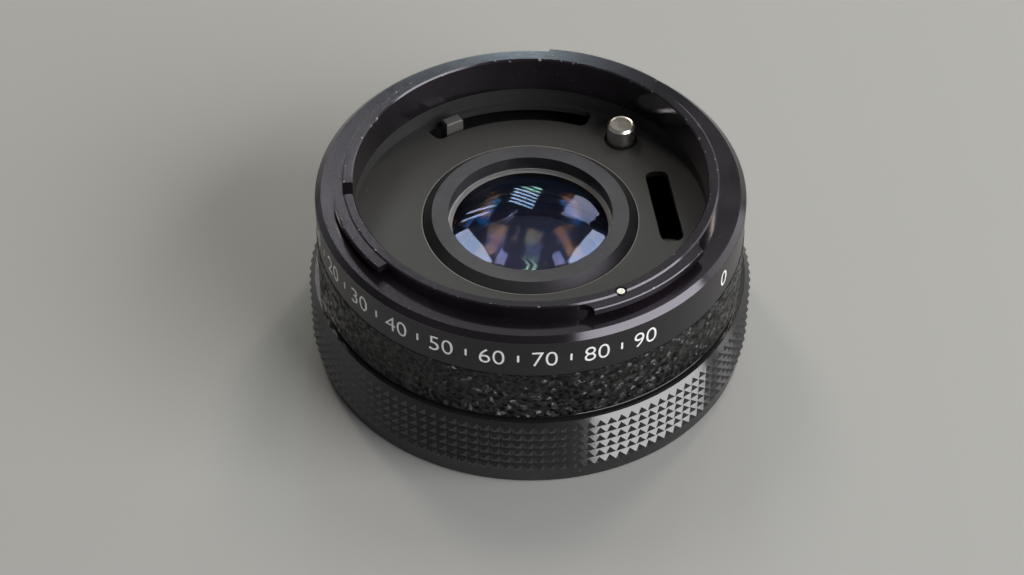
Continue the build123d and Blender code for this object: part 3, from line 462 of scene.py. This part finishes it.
def anodised_material(name, colour, sheen, roughness, shine, worn=(), polished_below=0.0):
    """Black anodised metal: dark gloss, turning lines, handling marks, dust and nicked edges."""
    material, sheet = new_material(name)
    coords = sheet.coords()
    radius, z = sheet.radius_and_height(coords)
    lines = turned_height(sheet, coords, LATHE_PITCH)
    marks = sheet.rough_noise(coords, RING_HANDLING_SCALE)
    dust = sheet.noise(coords, RING_DUST_SCALE).rise(*RING_DUST_LEVELS)
    nicks = sheet.rough_noise(coords, NICK_SCALE, detail=3.0).rise(*NICK_LEVELS)
    tone = sheet.mix(marks.rise(*HANDLING_LEVELS), colour, sheen)
    tone = sheet.mix(dust * 0.35, tone, RING_DUST)
    for inner, outer, level in worn:
        edge = radius.within(inner, outer, 0.03 * MM) * z.rise(level - SOFT_EDGE, level)
        tone = sheet.mix(edge * nicks * 0.8, tone, NICKED_METAL)
    rough = roughness + (marks - 0.5) * 0.1 + (lines - 0.5) * 0.06
    polish = 1.0 - z.rise(polished_below, polished_below + SOFT_EDGE)
    sheet.surface(sheet.shader({
        "Base Color": tone, "Roughness": rough + (0.1 - rough) * polish,
        "Specular IOR Level": shine, "Specular Tint": VIOLET_GLOSS,
        "Normal": sheet.bump(lines, LATHE_DEPTH)}))
    return material


def knurl_material(colour):
    """Black anodised grip whose pyramid tips are worn to a paler grey."""
    material, sheet = new_material("knurled_grip")
    coords = sheet.coords()
    radius, z = sheet.radius_and_height(coords)
    tips = radius.rise(GRIP_RADIUS - 0.09 * MM, GRIP_RADIUS - 0.01 * MM)
    patches = sheet.rough_noise(coords, GRIP_PATCH_SCALE, detail=3.0).rise(*HANDLING_LEVELS)
    marks = sheet.rough_noise(coords, GRIP_HANDLING_SCALE)
    dust = sheet.noise(coords, GRIP_DUST_SCALE).rise(*GRIP_DUST_LEVELS)
    tone = sheet.mix(marks, colour, GRIP_SHEEN)
    tone = sheet.mix(dust * 0.3, tone, GRIP_DUST)
    tone = sheet.mix(tips * patches * 0.6, tone, WORN_GRIP)
    sheet.surface(sheet.shader({
        "Base Color": tone, "Roughness": 0.11 + marks * 0.08, "Specular IOR Level": 0.8,
        "Normal": sheet.bump(sheet.noise(coords, GRIP_TOOTH_SCALE), GRIP_TOOTH_DEPTH)}))
    return material


def leatherette_material(colour):
    """Pebbled leatherette: angular raised grains with glossy facets, and dull creases darkened
    with painted shade.
    """
    material, sheet = new_material("pebbled_leatherette")
    coords = sheet.coords()
    warp = sheet.noise(coords, GRAIN_WARP_SCALE).side(1)
    shifted = sheet.vector("MULTIPLY_ADD", warp, (GRAIN_WARP,) * 3, coords)
    grains = sheet.add(
        "ShaderNodeTexVoronoi", {"feature": "F1"}, {"Vector": shifted, "Scale": GRAIN_SCALE})
    inside = sheet.vector("SUBTRACT", shifted, grains.side(2))
    slant = sheet.vector("SUBTRACT", grains.side(1), (0.5, 0.5, 0.5))
    facet = sheet.vector("DOT_PRODUCT", inside, slant).side(1)
    fine = sheet.rough_noise(coords, FINE_GRAIN_SCALE, detail=2.0)
    height = facet * FACET_SLOPE + (1.0 - grains) * GRAIN_HEIGHT + fine * FINE_GRAIN_HEIGHT
    creases = grains.rise(*CREASE_LEVELS)
    # The creases between the grains are darkened with painted shade
    tone = sheet.mix(creases, colour, PAINTED_CREASE_SHADE)
    tone = sheet.mix(fine.rise(*GRAIN_DUST_LEVELS) * 0.3, tone, GRAIN_DUST)
    sheet.surface(sheet.shader({
        "Base Color": tone, "Roughness": 0.28 + creases * 0.4 + fine * 0.08,
        "Specular IOR Level": 0.45, "Normal": sheet.bump(height, 1.0)}))
    return material


def painted_material(name, colour, roughness, bore=0.0):
    """Flat paint with a fine tooth and a little dust, and a painted highlight in a thin ring at
    the edge of a bore.
    """
    material, sheet = new_material(name)
    coords = sheet.coords()
    tooth = sheet.noise(coords, PAINT_TOOTH_SCALE)
    cloud = sheet.rough_noise(coords, PAINT_CLOUD_SCALE)
    dust = sheet.noise(coords, PAINT_DUST_SCALE).rise(*PAINT_DUST_LEVELS)
    tone = sheet.mix(cloud, colour, dimmed(colour, 1.5))
    tone = sheet.mix(dust * 0.4, tone, PAINT_DUST)
    if bore:
        radius, z = sheet.radius_and_height(coords)
        # A thin pale ring at the bore's edge is a painted highlight, in place of light caught on a
        # bevel
        edge = radius.within(bore - 0.02 * MM, bore + 0.08 * MM, SOFT_EDGE)
        tone = sheet.mix(edge * 0.5, tone, PAINTED_BORE_HIGHLIGHT)
    sheet.surface(sheet.shader({
        "Base Color": tone, "Roughness": roughness + (cloud - 0.5) * 0.12,
        "Specular IOR Level": 0.45, "Normal": sheet.bump(tooth, PAINT_TOOTH_DEPTH)}))
    return material


def metal_material(name, colour, roughness, node=None, pitch=0.16 * MM, depth=0.006 * MM):
    """Bare turned metal with rings round the optical axis, or round a node's own axis."""
    material, sheet = new_material(name)
    coords = sheet.coords()
    centre_x, centre_y = centre_of(node) if node else (0.0, 0.0)
    local = sheet.add("ShaderNodeMapping", {"vector_type": "POINT"}, {
        "Vector": coords, "Location": (-centre_x, -centre_y, 0.0)})
    lines = turned_height(sheet, local, pitch)
    stains = sheet.rough_noise(coords, STAIN_SCALE, detail=3.0)
    tone = sheet.mix(stains.rise(*STAIN_LEVELS), colour, dimmed(colour, 0.78))
    sheet.surface(sheet.shader({
        "Base Color": tone, "Roughness": roughness + (stains - 0.5) * 0.08, "Metallic": 1.0,
        "Normal": sheet.bump(lines, depth)}))
    return material


def glass_material(node, ior, coatings, upper_clear_radius, lower_clear_radius, rim_colour):
    """Optical glass whose faces have thin coatings that tint what they mirror, and a dull rim."""
    material, sheet = new_material(node + "_glass")
    coords = sheet.coords()
    radius, z = sheet.radius_and_height(coords)
    low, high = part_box(node)
    middle = (low[2] + high[2]) / 2
    upper = z.rise(middle - 0.01 * MM, middle)
    lower_rim = radius.rise(lower_clear_radius - RIM_EDGE, lower_clear_radius) * (1.0 - upper)
    rim = radius.rise(upper_clear_radius - RIM_EDGE, upper_clear_radius).math("MAXIMUM", lower_rim)
    haze = sheet.rough_noise(coords, HAZE_SCALE)
    upper_face, lower_face = (
        sheet.shader({
            "Base Color": CLEAR_GLASS, "Roughness": haze.rise(*HAZE_LEVELS) * 0.015,
            "Transmission Weight": 1.0, "IOR": ior, "Specular Tint": (mirrored,) * 3,
            "Thin Film Thickness": thickness, "Thin Film IOR": film_ior})
        for thickness, film_ior, mirrored in coatings
    )
    dull = sheet.shader({
        "Base Color": rim_colour, "Roughness": 0.7 + haze * 0.1, "Specular IOR Level": 0.3})
    sheet.surface(sheet.blend(rim, sheet.blend(upper, lower_face, upper_face), dull))
    return material


def centre_of(node):
    """Where a node's own upright axis stands."""
    low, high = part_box(node)
    return (low[0] + high[0]) / 2, (low[1] + high[1]) / 2


def paint_nodes(material, *names):
    """The CAD nodes take the material in place of their own."""
    for name in names:
        data = NODES[name].data
        data.materials.clear()
        data.materials.append(material)


# Pieces


def finished(mesh, name, material, body):
    """A made mesh becomes a piece that rides on a body."""
    piece = bpy.data.objects.new(name, mesh)
    bpy.context.scene.collection.objects.link(piece)
    mesh.materials.clear()
    mesh.materials.append(material)
    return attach(piece, body)


def round_the_band(angle, level, radius):
    """Stands flat print upright on the band at an angle, facing outwards."""
    quarter = math.pi / 2
    turn = Matrix.Rotation(angle + quarter, 4, "Z") @ Matrix.Rotation(quarter, 4, "X")
    place = Vector((radius * math.cos(angle), radius * math.sin(angle), level))
    return Matrix.Translation(place) @ turn


def number_mesh(text, height, thickness):
    """A flat number as a thin closed mesh, centred on its own middle."""
    curve = bpy.data.curves.new("number", "FONT")
    curve.body = text
    curve.align_x = "CENTER"
    curve.extrude = TEXT_DEPTH
    curve.offset = TEXT_OFFSET
    curve.resolution_u = TEXT_CURVE_STEPS
    holder = bpy.data.objects.new("number", curve)
    bpy.context.scene.collection.objects.link(holder)
    bpy.context.view_layer.update()
    depsgraph = bpy.context.evaluated_depsgraph_get()
    mesh = bpy.data.meshes.new_from_object(holder.evaluated_get(depsgraph))
    bpy.data.objects.remove(holder)
    bm = bmesh.new()
    bm.from_mesh(mesh)
    bmesh.ops.remove_doubles(bm, verts=bm.verts, dist=TEXT_MERGE_DISTANCE)
    bmesh.ops.recalc_face_normals(bm, faces=bm.faces)
    low = [min(v.co[i] for v in bm.verts) for i in range(3)]
    high = [max(v.co[i] for v in bm.verts) for i in range(3)]
    middle = Vector([(a + b) / 2 for a, b in zip(low, high)])
    size = height / (high[1] - low[1])
    bmesh.ops.translate(bm, verts=bm.verts, vec=-middle)
    bmesh.ops.scale(bm, verts=bm.verts, vec=(size, size, thickness / (high[2] - low[2])))
    bm.to_mesh(mesh)
    bm.free()
    return mesh


def tick_mesh(width, height, thickness):
    """A short upright mark with softened corners."""
    bm = bmesh.new()
    bmesh.ops.create_cube(bm, size=1.0)
    bmesh.ops.scale(bm, verts=bm.verts, vec=(width, height, thickness))
    corners = [e for e in bm.edges if abs(e.verts[0].co.z - e.verts[1].co.z) > thickness / 2]
    bmesh.ops.bevel(
        bm, geom=corners, offset=width * TICK_CORNER_SHARE, segments=3,
        affect="EDGES", profile=0.5, material=-1,
    )
    mesh = bpy.data.meshes.new("tick")
    bm.to_mesh(mesh)
    bm.free()
    return mesh


class TC_OT_mount_finish(bpy.types.Operator):
    """Gives the mount ring, printed band and retaining rings their anodised finishes"""

    bl_idname = "tc.mount_finish"
    bl_label = "Finish the Mount and Band"

    def execute(self, context):
        finish = context.scene.tc_finish
        gloss = anodised_material(
            "anodised_gloss", finish.anodised, GLOSS_SHEEN, 0.14, 0.66, NICKED_EDGES)
        satin = anodised_material(
            "anodised_satin", finish.band, SATIN_SHEEN, 0.31, 0.5,
            polished_below=POLISHED_SEAT_TOP)
        nose = anodised_material("anodised_nose", finish.anodised, NOSE_SHEEN, 0.44, 0.5)
        paint_nodes(gloss, "front_mount_ring")
        paint_nodes(satin, "housing_barrel")
        paint_nodes(nose, "front_retaining_ring", "rear_retaining_ring", "barrel_lock_ring")
        return {"FINISHED"}


class TC_OT_grip_finish(bpy.types.Operator):
    """Gives the knurled locking ring its worn black finish"""

    bl_idname = "tc.grip_finish"
    bl_label = "Finish the Knurled Ring"

    def execute(self, context):
        paint_nodes(knurl_material(context.scene.tc_finish.anodised), "breech_ring")
        return {"FINISHED"}


class TC_OT_leatherette_finish(bpy.types.Operator):
    """Gives the grip covering its pebbled grain"""

    bl_idname = "tc.leatherette_finish"
    bl_label = "Finish the Leatherette"

    def execute(self, context):
        paint_nodes(leatherette_material(context.scene.tc_finish.grain), "leatherette_band")
        return {"FINISHED"}


class TC_OT_inner_finish(bpy.types.Operator):
    """Paints the baffle, chassis, cover, lens barrel, washer and spacers"""

    bl_idname = "tc.inner_finish"
    bl_label = "Finish the Inner Metal"

    def execute(self, context):
        colour = context.scene.tc_finish.baffle
        # The baffle's bore edge gets a painted highlight ring
        paint_nodes(
            painted_material("matt_black_baffle", colour, 0.55, BAFFLE_BORE), "front_baffle")
        paint_nodes(
            painted_material("matt_black_inside", dimmed(colour, 0.5), 0.6),
            "chassis", "rear_cover_plate", "lens_barrel", "rear_spacer", "pin_washer",
        )
        paint_nodes(painted_material("grey_spacer", SPACER_GREY, 0.5), "front_spacer")
        return {"FINISHED"}


class TC_OT_metal_finish(bpy.types.Operator):
    """Gives the pins, levers, screws, springs, brass pieces and rear flange their finishes"""

    bl_idname = "tc.metal_finish"
    bl_label = "Finish the Bare Metal"

    def execute(self, context):
        finish = context.scene.tc_finish
        paint_nodes(
            metal_material(
                "turned_steel", finish.steel, 0.3, "full_aperture_pin", 0.2 * MM, 0.012 * MM),
            "full_aperture_pin",
        )
        paint_nodes(
            metal_material(
                "index_steel", INDEX_STEEL, 0.36, "index_pin", 0.1 * MM, 0.004 * MM),
            "index_pin",
        )
        paint_nodes(
            metal_material("plain_steel", PLAIN_STEEL, 0.36),
            "front_ring_screws", "chassis_screws", "signal_return_spring", "drive_return_spring",
            "hub_circlip", "pin_spring", "rear_flange_screws", "locating_key",
            "rear_cover_screws", "breech_stop_pin",
        )
        paint_nodes(
            painted_material("grey_lever", LEVER_GREY, 0.42),
            "drive_front_lever", "drive_rear_lever", "signal_fork", "signal_rear_lever",
        )
        paint_nodes(
            metal_material("plain_brass", finish.brass, 0.34),
            "signal_sleeve", "drive_sleeve", "friction_washer",
        )
        paint_nodes(
            metal_material("blackened_brass", BLACKENED_BRASS, 0.42),
            "drive_ring", "drive_rivets", "signal_ring", "signal_rivet", "pin_guide_bush",
        )
        paint_nodes(
            metal_material("satin_chrome", SATIN_CHROME, 0.3, pitch=0.12 * MM),
            "rear_mount_flange",
        )
        return {"FINISHED"}


class TC_OT_pin_spring(bpy.types.Operator):
    """Puts a copy of the pin's spring on the full-aperture pin's body, in place of the CAD spring
    """

    bl_idname = "tc.pin_spring"
    bl_label = "Fit the Pin's Spring"

    def execute(self, context):
        low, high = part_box("pin_spring")
        joints = frame["record"]["behaviour"]["joints"]
        travel = next(joint["range_m"][1] for joint in joints if joint["name"] == "pin_press")
        node = NODES["pin_spring"].data
        spring = finished(node.copy(), "pin_spring_coil", node.materials[0], "aperture_pin")
        length = high[2] - low[2]
        keep = (length - travel) / length
        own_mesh(spring)
        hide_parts("pin_spring")
        return {"FINISHED"}


class TC_OT_glass_finish(bpy.types.Operator):
    """Gives the lens elements clear glass with coloured coatings"""

    bl_idname = "tc.glass_finish"
    bl_label = "Finish the Lenses"

    def execute(self, context):
        finish = context.scene.tc_finish
        # Each coating: thickness in nanometres, refractive index, share of light it mirrors
        outer = (finish.front_coating, 1.42, 1.0)
        inner = (finish.inner_coating, 1.29, 0.32)
        rear = (finish.rear_coating, 1.38, 1.0)
        # Each lens: refractive index, coatings and clear radii of its upper and lower face, rim
        lenses = {
            "front_element": (1.62, (outer, inner), 11.19 * MM, 10.55 * MM, GROUND_GLASS),
            "second_element": (1.7, (inner, inner), 10.79 * MM, 10.79 * MM, INKED_GLASS),
            "third_element": (1.6, (inner, inner), 10.79 * MM, 10.79 * MM, INKED_GLASS),
            "rear_element": (1.65, (rear, rear), 10.49 * MM, 10.49 * MM, INKED_GLASS),
        }
        for node, facts in lenses.items():
            paint_nodes(glass_material(node, *facts), node)
        return {"FINISHED"}


class TC_OT_numbers(bpy.types.Operator):
    """Prints plain numbers and small marks round the satin band"""

    bl_idname = "tc.numbers"
    bl_label = "Print the Numbers"

    def execute(self, context):
        sizes = context.scene.tc_print
        white = tuple(context.scene.tc_finish.print_white)
        material, sheet = new_material("white_print")
        wear = sheet.rough_noise(sheet.coords(), PRINT_WEAR_SCALE, detail=3.0)
        sheet.surface(sheet.shader({
            "Base Color": sheet.mix(wear.rise(*PRINT_WEAR_LEVELS), white, WORN_PRINT),
            "Roughness": 0.45 + wear * 0.1, "Specular IOR Level": 0.4}))

        # A quarter of the print's thickness shows, and the rest is sunk in the band
        thickness = 4 * sizes.proud
        radius = BAND_RADIUS + sizes.proud - thickness / 2

        def print_mesh(mesh, name, angle):
            mesh.transform(round_the_band(angle, sizes.digit_level, radius))
            finished(mesh, name, material, "housing")

        labels = [
            (str((step + 1) * 10), sizes.first_angle + step * sizes.step_angle)
            for step in range(sizes.count)
        ]
        labels.append(("0", sizes.side_angle))
        for text, angle in labels:
            mesh = number_mesh(text, sizes.digit_height, thickness)
            print_mesh(mesh, "number_" + text, angle)
        for step in range(sizes.count - 1):
            mesh = tick_mesh(sizes.tick_width, sizes.tick_height, thickness)
            angle = sizes.first_angle + (step + 0.5) * sizes.step_angle
            print_mesh(mesh, "mark_" + str(step + 1), angle)
        return {"FINISHED"}


# Stage


def direction(azimuth, elevation):
    """The unit vector of a direction given in degrees."""
    turn, rise = math.radians(azimuth), math.radians(elevation)
    across = math.cos(rise)
    return Vector((across * math.cos(turn), across * math.sin(turn), math.sin(rise)))


def between(first, last, share):
    """The pair of angles that is a share of the way from the first pair to the last."""
    return tuple(a + (b - a) * share for a, b in zip(first, last))


def soft_light(name, brightness, start, end, breadth, colour):
    """A flat soft light a metre off, from one direction to another and as broad as an angle."""
    first, last = direction(*start), direction(*end)
    outward = (first + last).normalized()
    along = (last - first).normalized()
    across = outward.cross(along)
    length = 2 * math.tan(first.angle(last) / 2)
    width = 2 * math.tan(math.radians(breadth) / 2)
    data = bpy.data.lights.new(name, "AREA")
    data.shape = "RECTANGLE"
    data.size = length
    data.size_y = width
    data.energy = brightness * math.pi * length * width
    data.color = colour
    lamp = bpy.data.objects.new(name, data)
    bpy.context.scene.collection.objects.link(lamp)
    lamp.matrix_world = Matrix((
        (along.x, across.x, outward.x, outward.x),
        (along.y, across.y, outward.y, outward.y),
        (along.z, across.z, outward.z, outward.z + LIGHT_AIM_HEIGHT),
        (0.0, 0.0, 0.0, 1.0),
    ))


def lay_floor(colour):
    """A plain flat floor under the object."""
    bm = bmesh.new()
    bmesh.ops.create_grid(bm, x_segments=1, y_segments=1, size=3.0)
    mesh = bpy.data.meshes.new("floor")
    bm.to_mesh(mesh)
    bm.free()
    floor = bpy.data.objects.new("floor", mesh)
    bpy.context.scene.collection.objects.link(floor)
    material, sheet = new_material("plain_floor")
    sheet.surface(sheet.shader({
        "Base Color": colour, "Roughness": 0.9, "Specular IOR Level": 0.1}))
    mesh.materials.append(material)


def hang_lights(stage):
    """The soft panels and strips, and the row of slats."""
    for name, setting, start, end, breadth, colour in LIGHTS:
        soft_light(name, getattr(stage, setting), start, end, breadth, colour)
    for slat in range(SLAT_COUNT):
        share = (slat + 0.5) / SLAT_COUNT
        start, end = between(*SLAT_STARTS, share), between(*SLAT_ENDS, share)
        colour = GREEN_WHITE if slat < GREEN_SLATS else COOL_WHITE
        soft_light("slat_" + str(slat + 1), stage.slats, start, end, SLAT_BREADTH, colour)


def pale_world(fill, horizon):
    """Surroundings that are palest near the floor and darker overhead."""
    world = bpy.data.worlds.new("pale_surroundings")
    world.use_nodes = True
    sheet = Sheet(world.node_tree)
    x, y, height = sheet.split(sheet.add("ShaderNodeTexCoord"))
    overhead = height.math("ABSOLUTE").rise(*OVERHEAD_HEIGHTS)
    below = (0.0 - height).rise(*BELOW_HEIGHTS)
    strength = horizon + overhead * (fill - horizon) + below * BELOW_BRIGHTNESS
    shader = sheet.add("ShaderNodeBackground", inputs={"Color": SKY, "Strength": strength})
    sheet.add("ShaderNodeOutputWorld", inputs={"Surface": shader})
    return world


def place_camera():
    """The camera where the photograph was taken from."""
    data = bpy.data.cameras.new("camera")
    data.sensor_fit = "HORIZONTAL"
    data.sensor_width = SENSOR_WIDTH
    data.lens = FOCAL_LENGTH
    data.clip_start = 0.01
    data.clip_end = 20.0
    camera = bpy.data.objects.new("camera", data)
    bpy.context.scene.collection.objects.link(camera)
    tilt, turn = math.radians(90 - CAMERA_DOWN), math.radians(CAMERA_TURN)
    aim = Euler((tilt, 0.0, turn), "XYZ").to_matrix().to_4x4()
    roll = Matrix.Rotation(math.radians(CAMERA_ROLL), 4, "Z")
    camera.matrix_world = Matrix.Translation(Vector(CAMERA_PLACE)) @ aim @ roll
    return camera


class TC_OT_stage(bpy.types.Operator):
    """Adds the plain floor, the soft lights, the pale surroundings and the camera"""

    bl_idname = "tc.stage"
    bl_label = "Set the Stage"

    def execute(self, context):
        scene = context.scene
        stage = scene.tc_stage
        lay_floor(tuple(stage.floor))
        hang_lights(stage)
        scene.world = pale_world(stage.fill, stage.horizon)
        scene.camera = place_camera()
        scene.view_settings.view_transform = "Standard"
        return {"FINISHED"}


class TC_PT_panel(bpy.types.Panel):
    """Lists the finishes, the printing and the stage"""

    bl_idname = "TC_PT_panel"
    bl_label = "Teleconverter"
    bl_space_type = "VIEW_3D"
    bl_region_type = "UI"
    bl_category = "Teleconverter"

    def draw(self, context):
        layout = self.layout
        scene = context.scene
        for group in (scene.tc_print, scene.tc_finish, scene.tc_stage):
            box = layout.box()
            for name in group.__annotations__:
                box.prop(group, name)
        for operator in OPERATORS:
            layout.operator(operator.bl_idname)


SETTINGS = (PrintSettings, FinishSettings, StageSettings)
OPERATORS = (
    TC_OT_mount_finish,
    TC_OT_grip_finish,
    TC_OT_leatherette_finish,
    TC_OT_inner_finish,
    TC_OT_metal_finish,
    TC_OT_pin_spring,
    TC_OT_glass_finish,
    TC_OT_numbers,
    TC_OT_stage,
)


def register():
    for item in (*SETTINGS, *OPERATORS, TC_PT_panel):
        bpy.utils.register_class(item)
    bpy.types.Scene.tc_print = bpy.props.PointerProperty(type=PrintSettings)
    bpy.types.Scene.tc_finish = bpy.props.PointerProperty(type=FinishSettings)
    bpy.types.Scene.tc_stage = bpy.props.PointerProperty(type=StageSettings)


def unregister():
    del bpy.types.Scene.tc_stage
    del bpy.types.Scene.tc_finish
    del bpy.types.Scene.tc_print
    for item in reversed((*SETTINGS, *OPERATORS, TC_PT_panel)):
        bpy.utils.unregister_class(item)


def main():
    register()
    bpy.ops.tc.mount_finish()
    bpy.ops.tc.grip_finish()
    bpy.ops.tc.leatherette_finish()
    bpy.ops.tc.inner_finish()
    bpy.ops.tc.metal_finish()
    bpy.ops.tc.pin_spring()
    bpy.ops.tc.glass_finish()
    bpy.ops.tc.numbers()
    bpy.ops.tc.stage()


if __name__ == "__main__":
    main()
